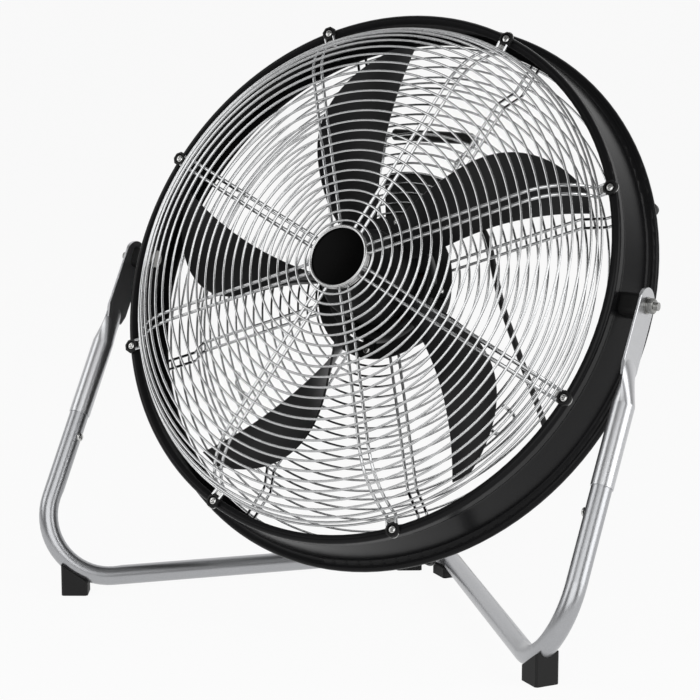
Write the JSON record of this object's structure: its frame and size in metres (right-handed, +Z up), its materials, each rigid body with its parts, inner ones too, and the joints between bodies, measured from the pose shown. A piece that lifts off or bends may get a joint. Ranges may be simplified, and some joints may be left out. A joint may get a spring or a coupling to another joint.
{
  "type": "floor drum fan",
  "caption": "Floor-standing drum fan: swept blades in a wire-guarded steel drum that tilts between the legs of a tubular stand, with rear switch box, handle and mains lead.",
  "frame": {"origin": "on the floor, under the middle of the fan's box without its cord", "axes": "+Z up, +X along the tilt axis to the viewer's right, the fan faces -Y and looks up at rest"},
  "size_m": [0.627, 0.4588, 0.5894],
  "materials": {
    "stand_silver": "satin silver",
    "foot_black": "matt",
    "drum_black": "satin",
    "block_black": "matt",
    "guard_chrome": "bright",
    "bright_steel": "zinc plated",
    "clip_black": "gloss",
    "badge_chrome": "bright",
    "badge_black": "gloss",
    "motor_black": "satin",
    "core_steel": "laminated",
    "winding_copper": "varnished",
    "blade_black": "satin",
    "box_black": "fine texture",
    "knob_black": "satin",
    "capacitor_grey": "satin",
    "grip_black": "matt",
    "cord_black": "matt",
    "tie_black": "satin",
    "plug_black": "satin",
    "pin_brass": "polished"
  },
  "bodies": {
    "stand": {"base_tube": "stand_silver", "leg_left": "stand_silver", "leg_right": "stand_silver", "leg_screws": "bright_steel", "foot_front_left": "foot_black", "foot_front_right": "foot_black", "foot_rear_left": "foot_black", "foot_rear_right": "foot_black", "power_cord": "cord_black", "cord_coil": "cord_black", "cord_tie": "tie_black", "plug": "plug_black", "plug_pins": "pin_brass"},
    "head": {"drum": "drum_black", "pivot_block_left": "block_black", "pivot_block_right": "block_black", "pivot_bolts": "bright_steel", "pivot_washers": "bright_steel", "pivot_lock_washers": "bright_steel", "pivot_nuts": "bright_steel", "front_guard": "guard_chrome", "front_guard_rings": "guard_chrome", "front_clips": "clip_black", "front_clip_plates": "bright_steel", "front_clip_screws": "bright_steel", "badge_ring": "badge_chrome", "badge_plate": "badge_black", "badge_backing": "bright_steel", "rear_guard": "guard_chrome", "rear_guard_rings": "guard_chrome", "rear_guard_edge": "guard_chrome", "rear_clips": "clip_black", "rear_clip_screws": "bright_steel", "motor_mount_ring": "motor_black", "motor_front_shell": "motor_black", "motor_rear_shell": "motor_black", "motor_screws": "bright_steel", "stator_core": "core_steel", "stator_winding": "winding_copper", "front_bearing": "bright_steel", "rear_bearing": "bright_steel", "control_box": "box_black", "control_box_cover": "box_black", "speed_switch": "knob_black", "capacitor": "capacitor_grey", "handle_wire": "guard_chrome", "handle_grip": "grip_black", "cord_hooks": "guard_chrome", "cord_relief": "cord_black"},
    "rotor": {"blade_set": "blade_black", "motor_shaft": "bright_steel", "rotor_core": "core_steel", "hub_nut": "bright_steel"},
    "knob": {"speed_knob": "knob_black"}
  },
  "joints": [
    {"name": "head_tilt", "type": "hinge", "parent": "stand", "child": "head", "pos_m": [0, 0.00108, 0.3306], "axis": [-1, 0, 0], "range_deg": [-35.6, 64.4], "deforming": ["power_cord"]},
    {"name": "fan_spin", "type": "hinge", "parent": "head", "child": "rotor", "pos_m": [0, 0.00108, 0.3306], "axis": [0, -0.9018, 0.4321], "continuous": true},
    {"name": "knob_turn", "type": "hinge", "parent": "head", "child": "knob", "pos_m": [0, 0.11067, 0.38344], "axis": [0, 0.9018, -0.4321], "range_deg": [0, 135]}
  ]
}
